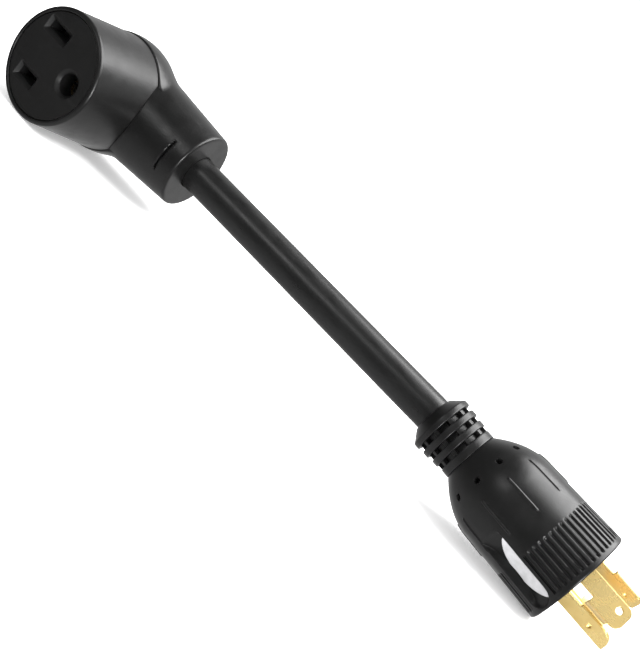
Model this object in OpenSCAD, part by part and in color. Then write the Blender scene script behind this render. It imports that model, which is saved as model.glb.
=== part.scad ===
// Power adapter dogbone: an angled two-slot socket with a ground hole, a short thick
// cable, and a straight four-blade locking plug. It lies on its side on a flat surface:
// +X runs from the socket to the plug, the socket's face looks towards -Y, +Z is up.

/* [Socket] */
// Radius of the socket face, outside the front shell
face_r = 25.5; // [25:0.1:27]
// Radius of the front shell at its rear rim
sleeve_rear_r = 27.3; // [27:0.1:28]
// Length of the front shell
sleeve_len = 39; // [37:0.5:41]
// Distance from the face back to the axis of the arm
face_to_arm = 49; // [47:0.5:51]
// Radius of the ball-shaped heel
ball_r = 28.2; // [28:0.1:29]
// Distance from the face back to the centre of the heel
face_to_ball = 43.9; // [43:0.1:45]
// Angle by which the face is turned away from the cable, in degrees
face_turn = 7.4; // [5:0.1:9]
// Length of the arm, from the axis of the socket to its end
arm_len = 53; // [50:0.5:56]
// Radius of the arm at its end
arm_end_r = 19.3; // [19:0.1:20]
// Radius of the arm where it meets the heel
arm_root_r = 23.4; // [23:0.1:23.6]
// Half of the distance between the two blade slots
slot_off = 11.9; // [11.5:0.1:12.2]
// Length of the upper blade slot
slot_len = 13.2; // [12:0.1:14]
// Length of the lower blade slot
low_slot_len = 11; // [10:0.1:13]
// Width of a blade slot
slot_w = 3.9; // [3.5:0.1:3.9]
// Radius of the ground hole
ground_r = 4.9; // [4.5:0.1:5]

/* [Cable] */
// Outer diameter of the cable
cable_d = 16.5; // [16:0.1:17]
// Length of cable that shows between the arm and the boot
cable_len = 150.8; // [130:0.1:170]
// Diameter of one insulated conductor
wire_d = 5.1; // [4.8:0.1:5.1]
// Diameter of one copper core
core_d = 2.9; // [2.6:0.1:3.2]

/* [Plug] */
// Length from the cable end of the boot to the front of the plug
plug_len = 86.2; // [86:0.1:89]
// Radius of the plug at its front rim
plug_r = 23.7; // [23.5:0.1:24]
// Angle by which the plug dips below the cable, in degrees
plug_dip = 3.1; // [2.9:0.1:3.2]
// Number of positions around the plug for grip ribs
rib_n = 52; // [48:4:56]
// Radius of the circle that holds the outer faces of the blades
blade_circle_r = 12.7; // [12.3:0.1:13]
// Length in front of the plug of the blade nearest the socket's side
blade_out = 24.8; // [24:0.1:26]
// Length in front of the plug of the other blades
short_out = 22.8; // [22:0.1:24]
// Thickness of the blades
blade_t = 1.7; // [1.5:0.1:1.8]

/* [Hidden] */

$fn = 96;
gap = 0.15;              // running clearance between pieces that are moulded together
skin = 0.3;              // clearance round the arm in the arch of the front shell
round_fn = 6;            // steps in a rounded edge
ball_off = face_to_arm - face_to_ball;  // heel centre in front of the arm's axis
sleeve_back = face_to_arm - sleeve_len; // rear rim of the front shell
cable_r = cable_d / 2;
wire_r = wire_d / 2;
core_r = core_d / 2;
wire_ring = 2.95;        // distance of each conductor from the middle of the cable

// The whole part lies on its side. The head leans until its face rim touches the surface.
cable_z = ball_r + 0.32;
head_lean = 3.6;
mid_x = 89.0;            // half way between the socket's side and the blade tips
mid_y = -14.1;           // half way between the socket's face and the plug's back

function turn_z(p, a) = [p.x*cos(a) - p.y*sin(a), p.x*sin(a) + p.y*cos(a), p.z];
function turn_x(p, a) = [p.x, p.y*cos(a) - p.z*sin(a), p.y*sin(a) + p.z*cos(a)];
function turn_y(p, a) = [p.x*cos(a) + p.z*sin(a), p.y, -p.x*sin(a) + p.z*cos(a)];

// A point of the head's frame (x along the arm towards the cable, y to the back), in the part's
function head_pt(p) = turn_x(p, head_lean) + [-arm_len - mid_x, -mid_y, cable_z];
// A point of the socket's frame (x towards the arm, y up, z out of the face), in the head's
function socket_pt(p) = turn_z([p.x, -p.z, p.y], -face_turn);
// A point of the plug's frame (x up, y to the front, z towards the blades), in the part's
function plug_pt(p) = turn_y([p.z, -p.y, p.x], plug_dip) + [cable_len - mid_x, -mid_y, cable_z];

module in_head() {
  translate([-arm_len - mid_x, -mid_y, cable_z]) rotate([head_lean, 0, 0]) children();
}
module in_socket() { in_head() rotate([0, 0, -face_turn]) rotate([90, 0, 0]) children(); }
module in_arm() { in_head() rotate([0, 90, 0]) children(); }
module in_plug() {
  translate([cable_len - mid_x, -mid_y, cable_z])
    rotate([0, 90 + plug_dip, 0]) rotate([0, 0, 180]) children();
}

// Points of an arc about [cx, cy] from angle a0 to a1
function arc(cx, cy, r, a0, a1, n = round_fn) =
  [for (i = [0:n]) let (a = a0 + (a1 - a0)*i/n) [cx + r*cos(a), cy + r*sin(a)]];

// Smooth route through points, with n steps to each stretch
function spline(p, n) = [
  for (i = [0:len(p) - 2]) let (
    a = p[max(i - 1, 0)], b = p[i], c = p[i + 1], d = p[min(i + 2, len(p) - 1)])
    for (k = [0:(i == len(p) - 2 ? n : n - 1)]) let (t = k/n)
      0.5*(2*b + (c - a)*t + (2*a - 5*b + 4*c - d)*t*t + (3*b - 3*c + d - a)*t*t*t)
];
function unit(v) = v/norm(v);
function tangent(p, i) = unit(p[min(i + 1, len(p) - 1)] - p[max(i - 1, 0)]);
function ring(p, i, r, sides) = let (
  t = tangent(p, i), s = unit(cross([0, 0, 1], t)), u = cross(t, s))
  [for (k = [0:sides - 1]) p[i] + r*(cos(360*k/sides)*s + sin(360*k/sides)*u)];

// Solid rod swept along a route
module rod(p, r, sides = 10) {
  n = len(p);
  polyhedron(
    [for (i = [0:n - 1]) each ring(p, i, r, sides)],
    concat(
      [[for (k = [sides - 1:-1:0]) k]],
      [for (i = [0:n - 2]) for (k = [0:sides - 1]) let (m = (k + 1) % sides)
        each [[i*sides + k, i*sides + m, (i + 1)*sides + m],
              [i*sides + k, (i + 1)*sides + m, (i + 1)*sides + k]]],
      [[for (k = [0:sides - 1]) (n - 1)*sides + k]]
    ));
}

// Hollow tube swept along a route, as one closed surface
module tube(p, r_out, r_in, sides = 12) {
  n = len(p);
  w = n*sides;
  polyhedron(
    concat([for (i = [0:n - 1]) each ring(p, i, r_out, sides)],
           [for (i = [0:n - 1]) each ring(p, i, r_in, sides)]),
    concat(
      [for (i = [0:n - 2]) for (k = [0:sides - 1]) let (m = (k + 1) % sides, a = i*sides, b = a + sides)
        each [[a + k, a + m, b + m], [a + k, b + m, b + k],
              [w + a + m, w + a + k, w + b + k], [w + a + m, w + b + k, w + b + m]]],
      [for (k = [0:sides - 1]) let (m = (k + 1) % sides, e = (n - 1)*sides)
        each [[m, k, w + k], [m, w + k, w + m],
              [e + k, e + m, w + e + m], [e + k, w + e + m, w + e + k]]]
    ));
}

// ---- Socket end ----

sleeve_front = face_to_arm;
insert_r = face_r - 2.2;      // radius of the contact carrier
insert_back = 14;             // rear of the contact carrier, along the socket's axis
face_recess = 0.5;            // the carrier sits this far inside the shell's rim
rim_round = 1.6;
ball_wall = 4;
ball_bore_r = ball_r - ball_wall;
arm_wall_r = arm_end_r - 4.5; // wire space in the arm
slot_u = -8.5;                // middle of the slots, away from the arm
slot_v = 0.3;                 // height of the middle between the two slots
ground_u = 11.8;              // middle of the ground hole, towards the arm
ground_v = -0.6;
upper_v = slot_v + slot_off;
lower_v = slot_v - slot_off;
lead_in = 1.9;                // width and depth of the bevel along each slot
lead_end = 1;                 // width of the bevel at each end of a slot

module cone_arm(grow = 0, from = 0) {
  slope = (arm_root_r - arm_end_r)/arm_len;
  translate([0, 0, from])
    cylinder(h = arm_len - from, r1 = arm_root_r + grow - slope*from, r2 = arm_end_r + grow);
}

module socket_sleeve() color([0.10, 0.10, 0.11]) difference() {
  in_socket() rotate_extrude() polygon(concat(
    [[insert_r + gap, sleeve_front - 0.8], [insert_r + gap, sleeve_back + 0.05],
     [sleeve_rear_r - 0.5, sleeve_back + 0.05], [sleeve_rear_r, sleeve_back + 0.55]],
    arc(face_r - rim_round, sleeve_front - rim_round, rim_round, 3, 90),
    [[insert_r + gap + 0.8, sleeve_front]]));
  in_arm() cone_arm(skin, 0);
}

groove_at = 8.4;              // from the arm's end to its groove
groove_half = 23;             // half angle that the groove spans

module arm_groove(side) {
  in_arm() rotate([0, 0, side*90 - groove_half]) rotate_extrude(angle = 2*groove_half)
    translate([arm_end_r - 0.7, arm_len - groove_at - 0.7]) square([4, 1.4]);
}

module elbow_housing() color([0.11, 0.11, 0.12]) difference() {
  union() {
    difference() {
      in_socket() union() {
        translate([0, 0, ball_off]) sphere(r = ball_r);
      }
      in_socket() translate([0, 0, sleeve_back]) cylinder(h = 60, r = 40);
    }
    in_socket() translate([0, 0, sleeve_back - 6]) cylinder(h = 9.5, r = insert_r - 0.1);
    in_head() sphere(r = arm_root_r);
    in_arm() rotate_extrude() polygon(concat(
      [[0, 0], [arm_root_r, 0]],
      arc(arm_end_r - 2.2, arm_len - 2.2, 2.2, 4, 90),
      [[0, arm_len]]));
  }
  // Space for the conductors, open towards the contact carrier
  in_socket() translate([0, 0, ball_off]) sphere(r = ball_bore_r - 3);
  in_socket() cylinder(h = 60, r = insert_r - 3.4);
  in_arm() cylinder(h = arm_len - 20, r = arm_wall_r);
  in_arm() cylinder(h = arm_len + 1, r = cable_r + gap);
  arm_groove(-1);
  arm_groove(1);
}

// Blade slot of length l with a bevelled mouth, centred at height v on the face
jaw_room = 6.3;               // half length of the space behind each slot
module slot_cut(v, l) {
  translate([slot_u, v, 0]) {
    translate([-l/2, -slot_w/2, insert_back - 1]) cube([l, slot_w, face_to_arm]);
    translate([0, 0, face_to_arm - face_recess]) rotate([0, 90, 0])
      translate([0, 0, -l/2 - lead_end]) linear_extrude(l + 2*lead_end)
        polygon([[0.01, -slot_w/2 - lead_in], [lead_in, -slot_w/2], [lead_in, slot_w/2],
                 [0.01, slot_w/2 + lead_in], [-1, slot_w/2 + lead_in], [-1, -slot_w/2 - lead_in]]);
    translate([-jaw_room, -4, insert_back - 1]) cube([2*jaw_room, 8, 23]);
  }
}

module socket_face_insert() color([0.05, 0.05, 0.05]) in_socket() difference() {
  rotate_extrude() polygon(concat(
    [[0, insert_back], [insert_r, insert_back]],
    arc(insert_r - 0.6, face_to_arm - face_recess - 0.6, 0.6, 0, 90, 3),
    [[0, face_to_arm - face_recess]]));
  slot_cut(upper_v, slot_len);
  slot_cut(lower_v, low_slot_len);
  translate([ground_u, ground_v, insert_back - 1]) cylinder(h = face_to_arm, r = ground_r);
  translate([ground_u, ground_v, face_to_arm - face_recess - 1.4])
    cylinder(h = 1.5, r1 = ground_r, r2 = ground_r + 1.5);
  translate([ground_u, ground_v, insert_back - 1]) cylinder(h = 27, r = ground_r + 1.1);
}

retainer_t = 2.4;
module contact_retainer() color([0.85, 0.84, 0.78]) in_socket() difference() {
  translate([0, 0, insert_back - retainer_t]) cylinder(h = retainer_t - 0.05, r = insert_r - 3.5);
  for (v = [lower_v, upper_v]) translate([slot_u, v, 0]) cylinder(h = 40, r = wire_r + 1.4);
  translate([ground_u, ground_v, 0]) cylinder(h = 40, r = wire_r + 1.4);
}

barrel_r = core_r + 0.75;     // crimp barrel on a copper core
barrel_len = 8;

module crimp_barrel(from) translate([0, 0, from]) difference() {
  cylinder(h = barrel_len, r = barrel_r);
  translate([0, 0, -1]) cylinder(h = barrel_len - 0.5, r = core_r + 0.1);
}

// Folded spring jaw: two leaves that grip a blade, a bridge and a crimp barrel
module line_contact(v) color([0.80, 0.68, 0.38]) in_socket() translate([slot_u, v, 0]) {
  for (s = [-1, 1]) {
    translate([-5.5, s > 0 ? 2.4 : -3.4, 17.5]) cube([11, 1, 15]);
    translate([0, 0, 32.5]) rotate([0, 90, 0]) translate([0, 0, -5.5]) linear_extrude(11)
      polygon([[0, s*3.4], [0, s*2.4], [-2.6, s*0.6], [-3.4, s*1.2]]);
  }
  translate([-5.5, -3.4, 16.5]) cube([11, 6.8, 1.05]);
  crimp_barrel(8.6);
}

module line_contact_a() line_contact(upper_v);
module line_contact_b() line_contact(lower_v);

// Split tube that grips the round ground pin, with its crimp barrel
module ground_contact() color([0.86, 0.86, 0.84]) in_socket() translate([ground_u, ground_v, 0]) {
  difference() {
    translate([0, 0, 17]) cylinder(h = 22.5, r = ground_r + 0.9);
    translate([0, 0, 18]) cylinder(h = 30, r = ground_r);
    translate([-9, -0.5, 24]) cube([18, 1, 30]);
  }
  translate([0, 0, 15.5]) cylinder(h = 1.6, r = barrel_r);
  crimp_barrel(8.6);
}

module cable_clamp_ring() color([0.62, 0.63, 0.65]) in_arm() difference() {
  translate([0, 0, arm_len - 32]) cylinder(h = 7, r = cable_r + 1.3);
  translate([0, 0, arm_len - 33]) cylinder(h = 9, r = cable_r + 0.1);
}

// ---- Cable ----

jacket_in_arm = 30;           // length of jacket inside the arm
jacket_in_plug = 34;          // length of jacket from the boot's end into the plug

// The route of the cable's middle, in the part's frame: level, then into the dipping plug
cable_route = concat(
  [head_pt([arm_len - jacket_in_arm, 0, 0]), head_pt([arm_len - 8, 0, 0])],
  [for (d = [8:19:140]) [d - mid_x, -mid_y, cable_z]],
  [plug_pt([0, 0, 3]), plug_pt([0, 0, 18]), plug_pt([0, 0, jacket_in_plug])]);

module cable_jacket() color([0.09, 0.09, 0.10]) tube(cable_route, cable_r, cable_r - 2.5, 12);

module cable_filler() color([0.80, 0.76, 0.66]) rod(cable_route, 0.35, 6);

// Place of a conductor in the cable, at angle a about its middle
function lay_head(a, x) = head_pt([x, -wire_ring*cos(a), wire_ring*sin(a)]);
function lay_plug(a, h) = plug_pt([wire_ring*sin(a), wire_ring*cos(a), h]);
function lay_free(a, d) = [d - mid_x, -mid_y - wire_ring*cos(a), cable_z + wire_ring*sin(a)];

lay_twist = 120;              // the conductors turn this far about each other along the cable
terminal_ring = 9.6;          // radius of the circle of crimp terminals in the plug
spread_ring = 5.6;            // where the conductors spread behind the terminals
hot_x_at = 122;               // angles of the blades about the plug, from the top to the front
hot_y_at = -39;
ground_at = 60;
neutral_at = 220;

// Route of a conductor from its socket contact at [u, v] to its plug terminal at angle b
function wire_route(a, u, v, side, b) = concat(
  [for (w = [9, 6.5, 3]) head_pt(socket_pt([u, v, w]))],
  [head_pt(side), lay_head(a, arm_len - 29), lay_head(a, arm_len - 8)],
  [for (d = [20:36:128]) lay_free(a - lay_twist*d/cable_len, d)],
  [lay_plug(a - lay_twist, 4), lay_plug(a - lay_twist, jacket_in_plug + 1),
   plug_pt([spread_ring*cos(b), spread_ring*sin(b), 42]),
   plug_pt([terminal_ring*cos(b), terminal_ring*sin(b), 50]),
   plug_pt([terminal_ring*cos(b), terminal_ring*sin(b), 54])]);

line_a_route = wire_route(90, slot_u, upper_v, [7, 0, 8], hot_x_at);
line_b_route = wire_route(-30, slot_u, lower_v, [7, 0, -8], hot_y_at);
ground_route = wire_route(210, ground_u, ground_v, [16.5, -0.5, -0.5], ground_at);

module wire(p) tube(spline(p, 2), wire_r, core_r + 0.05, 8);
module core(p) rod(spline(p, 2), core_r, 8);

module line_a_insulation() color([0.12, 0.12, 0.12]) wire(line_a_route);
module line_b_insulation() color([0.75, 0.12, 0.10]) wire(line_b_route);
module ground_insulation() color([0.10, 0.50, 0.20]) wire(ground_route);
module line_a_core() color([0.80, 0.45, 0.25]) core(line_a_route);
module line_b_core() color([0.80, 0.45, 0.25]) core(line_b_route);
module ground_core() color([0.80, 0.45, 0.25]) core(ground_route);

// ---- Plug end ----

boot_end = 23.4;              // where the boot's rings meet the plug
boot_rings = 4;
boot_pitch = 5.2;
boot_first = 8.1;             // middle of the first groove
boot_groove = 2.2;
boot_ring_r = 14;
boot_taper = 0.5;             // each ring is smaller than the one before
bridge_r = 12.1;
bridge_angle = 10;
window_h = boot_groove - 0.3;
window_floor_r = 9.7;
spoke_n = 10;                 // windows, ridges and holes come ten to the turn
spoke_at = 97.6;
ridge_at = 100;
hole_at = 91.3;
boot_key_len = 6;             // length of the boot's foot inside the plug
boot_key_r = 10.8;

// Ring of deep windows in the groove whose middle is at h, with a bridge between each two
module boot_windows(h) for (k = [0:spoke_n - 1])
  rotate([0, 0, spoke_at + bridge_angle/2 + 360*k/spoke_n]) translate([0, 0, h - window_h/2])
    rotate_extrude(angle = 360/spoke_n - bridge_angle)
      translate([window_floor_r, 0]) square([8, window_h]);

module strain_relief_boot() color([0.10, 0.10, 0.11]) in_plug() difference() {
  rotate_extrude() polygon(concat(
    [[cable_r + gap, 0.4], [cable_r + 0.6, 0.4], [boot_ring_r - 0.3, 4.2], [boot_ring_r, 4.6]],
    [for (k = [0:boot_rings - 2]) let (c = boot_first + k*boot_pitch, r = boot_ring_r - k*boot_taper)
      each [[r, c - boot_groove/2 - 0.3], [r - 0.3, c - boot_groove/2], [bridge_r, c - boot_groove/2],
            [bridge_r, c + boot_groove/2], [r - boot_taper - 0.3, c + boot_groove/2],
            [r - boot_taper, c + boot_groove/2 + 0.3]]],
    [[boot_ring_r - 3*boot_taper, boot_end - 0.1], [boot_key_r, boot_end - 0.1],
     [boot_key_r, boot_end + boot_key_len], [cable_r + gap, boot_end + boot_key_len]]));
  for (k = [0:boot_rings - 2]) boot_windows(boot_first + k*boot_pitch);
}

rib_from = 65.5;
rib_to = plug_len - 3;
body_r0 = 22.3;               // body radius where the dome ends
dome_r0 = 12.3;               // dome radius at the boot
dome_h = 46;                  // where the dome ends
plug_wall = 3.2;
pocket_at = 122.5;              // direction of one finger pocket; the other is opposite
pocket_w = 11;
pocket_from = 50;
pocket_depth = 5;

// Radius of the body's side at height h
function body_r(h) = body_r0 + (plug_r - body_r0)*(h - dome_h)/(plug_len - dome_h);
// Outline of the dome: a parabola from the boot to the side
function dome(n) = [for (i = [0:n]) let (t = i/n)
  [body_r0 - (body_r0 - dome_r0)*(1 - t)*(1 - t), boot_end + (dome_h - boot_end)*t]];

module body_outside() rotate_extrude() polygon(concat(
  [[0, boot_end]], dome(12),
  arc(plug_r - 1, plug_len - 1, 1, 4, 90, 4), [[0, plug_len]]));

// Finger pocket: a tongue outline sunk to a scooped floor
scoop_half = (plug_len - 1 - pocket_from)/2;
scoop_mid = pocket_from + scoop_half;
scoop_r = (pow(scoop_half, 2) + pow(pocket_depth, 2))/(2*pocket_depth);
scoop_x = body_r(scoop_mid) - pocket_depth + scoop_r;

// Cylinder of radius r about the axis of the scoop, w to each side
module scoop(r, w) {
  translate([0, 0, scoop_mid]) rotate([90, 0, 0]) translate([scoop_x, 0, -w]) cylinder(h = 2*w, r = r);
}

// Tongue outline of the pocket, drawn in from its edge by inset and run outwards
module tongue(inset) {
  w = pocket_w - 2*inset;
  round_at = plug_len - 1 - pocket_w/2;
  translate([10, 0, 0]) rotate([0, 90, 0]) linear_extrude(20) union() {
    translate([-round_at, 0]) circle(d = w);
    translate([-round_at, -w/2]) square([round_at - pocket_from - inset, w]);
  }
}

module pocket() intersection() {
  scoop(scoop_r, pocket_w);
  tongue(0);
}

inlay_t = 0.5;                // thickness of the inlay on a pocket's floor
inlay_inset = 1.1;
module pocket_inlay(side) color([0.62, 0.62, 0.63]) in_plug() rotate([0, 0, pocket_at + side])
  intersection() {
    difference() {
      scoop(scoop_r - 0.02, pocket_w);
      scoop(scoop_r - inlay_t, pocket_w + 1);
    }
    tongue(inlay_inset);
    translate([0, -20, pocket_from + inlay_inset + 3]) cube([body_r0 - 0.4, 40, 40]);
  }

module pocket_inlay_front() pocket_inlay(0);
module pocket_inlay_back() pocket_inlay(180);

// A rib is left between each pair of grooves, except at the two pockets
pocket_skip = 2.6;
module grip_grooves() for (k = [0:rib_n - 1]) {
  a = 360*k/rib_n;
  clear = min(abs((a - pocket_at + 540) % 360 - 180), abs((a - pocket_at + 720) % 360 - 180));
  if (clear > 15 + pocket_skip)
    rotate([0, 0, a]) translate([body_r(rib_from) - 0.45, -0.75, rib_from])
      cube([4, 1.5, rib_to - rib_from]);
}

module body_ridges() for (k = [0:spoke_n - 1]) rotate([0, 0, ridge_at + 360*k/spoke_n])
  translate([body_r0 - 1, -0.5, 40]) cube([1.45, 1, 16]);

// Small round holes square to the dome's surface
module body_holes() for (k = [0:spoke_n - 1]) rotate([0, 0, hole_at + 360*k/spoke_n])
  translate([0, 0, 42]) rotate([0, 116.6, 0]) translate([0, 0, 17.5]) cylinder(h = 8, r = 0.95);

pocket_flat = 16.2;           // inner side of the wall behind each finger pocket
carrier_r = plug_r - plug_wall - gap;
carrier_from = 60;
carrier_front = plug_len - 0.7;

module plug_body() color([0.11, 0.11, 0.12]) in_plug() difference() {
  union() {
    body_outside();
    body_ridges();
  }
  difference() {
    translate([0, 0, carrier_from]) cylinder(h = 60, r = carrier_r + gap);
    pocket_flats(pocket_flat + gap);
  }
  difference() {
    translate([0, 0, 44]) cylinder(h = 20, r = carrier_r - 3);
    pocket_flats(pocket_flat + gap);
  }
  translate([0, 0, boot_end + boot_key_len + 0.1]) cylinder(h = 14.8, r1 = boot_key_r - 1, r2 = carrier_r - 3);
  translate([0, 0, boot_end - 1]) cylinder(h = boot_key_len + 1.1, r = boot_key_r + 0.05);
  grip_grooves();
  for (s = [0, 180]) rotate([0, 0, pocket_at + s]) pocket();
  body_holes();
}

blade_back = 68;              // foot of the blades inside the carrier
neck_w = 7.8;
tab_w = 10.6;                 // width with the locking hook
tab_from = plug_len + 7.8;
flange_in = 6;                // depth of the ground blade's flange
flange_len = 10.6;

module carrier_round(from, to) translate([0, 0, from]) cylinder(h = to - from, r = carrier_r);
module pocket_flats(x) for (s = [0, 180]) rotate([0, 0, pocket_at + s])
  translate([x, -20, 0]) cube([20, 40, 200]);

module blade_slots(grow) for (a = [hot_x_at, hot_y_at, ground_at, neutral_at]) rotate([0, 0, a])
  translate([blade_circle_r - blade_t - grow, -neck_w/2 - grow, 0])
    cube([blade_t + 2*grow, neck_w + 2*grow, 200]);

module blade_carrier() color([0.06, 0.06, 0.06]) in_plug() difference() {
  carrier_round(74, carrier_front);
  pocket_flats(pocket_flat);
  blade_slots(0.05);
}

module terminal_block() color([0.30, 0.30, 0.31]) in_plug() difference() {
  carrier_round(carrier_from + 0.1, 73.9);
  pocket_flats(pocket_flat);
  translate([0, 0, blade_back]) blade_slots(0.05);
  for (a = [hot_x_at, hot_y_at, ground_at, neutral_at]) rotate([0, 0, a])
    translate([terminal_ring, 0, 50]) cylinder(h = 19, r = barrel_r + 0.6);
}

// Outline of a locking blade that ends at out in front of the plug and is w wide past its
// hook: x is across the blade, y along it, and side is 1 when the hook lies towards -x
module blade_outline(out, w, side, hook_round, tip_round) {
  end = plug_len + out;
  hook_x = neck_w/2 - w;
  outline = concat(
    [[-neck_w/2, blade_back], [neck_w/2, blade_back]],
    arc(neck_w/2 - tip_round, end - tip_round, tip_round, 0, 90, 5),
    arc(hook_x + hook_round, end - hook_round, hook_round, 90, 180, 5),
    [[hook_x, tab_from + 0.4], [hook_x + 0.4, tab_from], [-neck_w/2, tab_from]]);
  polygon([for (p = outline) [side*p.x, p.y]]);
}

// Flat locking blade at angle a, with a hole hole_out in front of the plug
module blade(a, out, hole_r, hole_out, w = tab_w, side = 1, hook_round = 3.4, tip_round = 2.2)
  in_plug() rotate([0, 0, a]) translate([blade_circle_r, 0, 0]) rotate([90, 0, -90]) difference() {
    linear_extrude(blade_t) blade_outline(out, w, side, hook_round, tip_round);
    translate([0, plug_len + hole_out, -1]) cylinder(h = 5, r = hole_r);
  }

module hot_x_blade() color([0.86, 0.70, 0.36])
  blade(hot_x_at, blade_out, 1.2, 15, neck_w + 0.5, -1, 5.5, 1);
module hot_y_blade() color([0.86, 0.70, 0.36]) blade(hot_y_at, short_out, 1.2, 17);
module neutral_blade() color([0.86, 0.70, 0.36]) blade(neutral_at, short_out, 1.2, 17);

// The ground blade has a larger hole, a rounder tip and a flange bent inwards
module ground_blade() color([0.86, 0.70, 0.36]) union() {
  blade(ground_at, short_out, 1.55, 18, tip_round = 3.2);
  in_plug() rotate([0, 0, ground_at])
    translate([blade_circle_r - flange_in, tab_w - neck_w/2 - blade_t, tab_from])
      cube([flange_in - blade_t/2, blade_t, flange_len]);
}

// Crimp terminal that joins a conductor to the foot of its blade
module terminal(a) color([0.82, 0.72, 0.45]) in_plug() rotate([0, 0, a]) {
  translate([terminal_ring, 0, 0]) difference() {
    translate([0, 0, 51.5]) cylinder(h = 16.2, r = barrel_r);
    translate([0, 0, 50]) cylinder(h = 10, r = core_r + 0.1);
  }
}

module hot_x_terminal() terminal(hot_x_at);
module hot_y_terminal() terminal(hot_y_at);
module ground_terminal() terminal(ground_at);

socket_sleeve();
elbow_housing();
socket_face_insert();
contact_retainer();
line_contact_a();
line_contact_b();
ground_contact();
cable_clamp_ring();
cable_jacket();
cable_filler();
line_a_insulation();
line_b_insulation();
ground_insulation();
line_a_core();
line_b_core();
ground_core();
strain_relief_boot();
plug_body();
pocket_inlay_front();
pocket_inlay_back();
blade_carrier();
terminal_block();
hot_x_blade();
hot_y_blade();
neutral_blade();
ground_blade();
hot_x_terminal();
hot_y_terminal();
ground_terminal();
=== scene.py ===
"""The look of the power adapter dogbone: a turned socket on an elbow, a thick cable, and a locking plug.

Shapes are worked out in millimetres in the frame of the piece they belong to, and placed in metres.
"""

import math
from functools import partial

import bmesh
import bpy
import numpy as np
from mathutils import Matrix, Vector


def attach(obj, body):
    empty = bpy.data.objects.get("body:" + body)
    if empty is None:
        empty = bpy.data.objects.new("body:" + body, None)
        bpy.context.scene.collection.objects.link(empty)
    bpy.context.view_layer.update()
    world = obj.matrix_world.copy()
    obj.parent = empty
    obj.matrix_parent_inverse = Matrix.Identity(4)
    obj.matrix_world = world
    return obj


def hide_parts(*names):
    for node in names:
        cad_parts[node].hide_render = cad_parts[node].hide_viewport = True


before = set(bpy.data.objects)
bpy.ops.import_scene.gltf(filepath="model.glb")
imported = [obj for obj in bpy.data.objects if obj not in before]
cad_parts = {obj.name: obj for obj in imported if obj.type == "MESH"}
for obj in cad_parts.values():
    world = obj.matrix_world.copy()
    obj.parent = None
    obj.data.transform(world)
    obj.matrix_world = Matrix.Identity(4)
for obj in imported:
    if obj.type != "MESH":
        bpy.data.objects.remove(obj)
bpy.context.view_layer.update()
MM = 0.001

# ---- Driving dimensions, in millimetres and degrees, as in the CAD source ----

FACE_R = 25.5
SLEEVE_REAR_R = 27.3
FACE_TO_ARM = 49.0
SLEEVE_LEN = 39.0
SLEEVE_BACK = FACE_TO_ARM - SLEEVE_LEN
BALL_R = 28.2
BALL_OFF = FACE_TO_ARM - 43.9
FACE_TURN = 7.4
ARM_LEN = 53.0
ARM_END_R = 19.3
ARM_ROOT_R = 23.4
INSERT_R = FACE_R - 2.2
FACE_RECESS = 0.5
SLOTS = ((12.2, 13.2), (-11.6, 11.0))     # height and length of each slot
SLOT_W = 3.9
SLOT_U = -8.5
GROUND_U = 11.8
GROUND_V = -0.6
GROUND_R = 4.9
LEAD_IN = 1.9
LEAD_END = 1.0

CABLE_R = 8.25
CABLE_LEN = 150.8

PLUG_LEN = 86.2
PLUG_R = 23.7
PLUG_DIP = 3.1
BLADE_CIRCLE_R = 12.7
BLADE_T = 1.7
SPOKES = 10
SPOKE_AT = 97.6
RIDGE_AT = 100.0
HOLE_AT = 91.3
POCKET_AT = 122.5
BLADE_AT = {"hot_x": 122.0, "hot_y": -39.0, "ground": 60.0, "neutral": 220.0}

MID_X = 89.0
MID_Y = -14.1
CABLE_Z = BALL_R + 0.32
HEAD_LEAN = 3.6

# ---- Frames ----


def turn(angle, axis):
    return Matrix.Rotation(math.radians(angle), 4, axis)


HEAD = Matrix.Translation((-ARM_LEN - MID_X, -MID_Y, CABLE_Z)) @ turn(HEAD_LEAN, "X")
SOCKET = HEAD @ turn(-FACE_TURN, "Z") @ turn(90, "X")
PLUG = Matrix.Translation((CABLE_LEN - MID_X, -MID_Y, CABLE_Z)) @ turn(90 + PLUG_DIP, "Y") @ turn(180, "Z")


def placed(points, place):
    """Points in millimetres in a piece's frame, as metres in the row frame."""
    m = np.array(place)
    p = np.asarray(points, float).reshape(-1, 3)
    return (p @ m[:3, :3].T + m[:3, 3]) * MM


def row_point(place, point):
    return tuple(placed([point], place)[0])


# ---- Mesh helpers ----


def smoothstep(x, a, b):
    t = np.clip((x - a) / (b - a), 0, 1)
    return t * t * (3 - 2 * t)


def new_object(name, mesh):
    obj = bpy.data.objects.new(name, mesh)
    bpy.context.scene.collection.objects.link(obj)
    return obj


def shade(mesh, sharp_angle=None):
    mesh.polygons.foreach_set("use_smooth", [True] * len(mesh.polygons))
    if sharp_angle:
        mesh.set_sharp_from_angle(angle=math.radians(sharp_angle))
    mesh.update()


def mesh_object(name, points, faces, sharp_angle=None):
    mesh = bpy.data.meshes.new(name)
    mesh.from_pydata(np.asarray(points).tolist(), [], [list(map(int, f)) for f in faces])
    mesh.validate()
    shade(mesh, sharp_angle)
    return new_object(name, mesh)


def even_angles(count):
    """Angles in degrees, evenly spaced round the circle."""
    return np.arange(count) * 360 / count


def circle(r, count):
    """Points [x, y] evenly spaced on a circle."""
    a = np.radians(even_angles(count))
    return np.stack([r * np.cos(a), r * np.sin(a)], -1)


def grid_faces(rows, cols):
    """Quads of a grid whose columns close on themselves, row by row."""
    r, c = np.meshgrid(np.arange(rows - 1), np.arange(cols), indexing="ij")
    a = r * cols + c
    b = r * cols + (c + 1) % cols
    return np.stack([a, b, b + cols, a + cols], -1).reshape(-1, 4)


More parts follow.
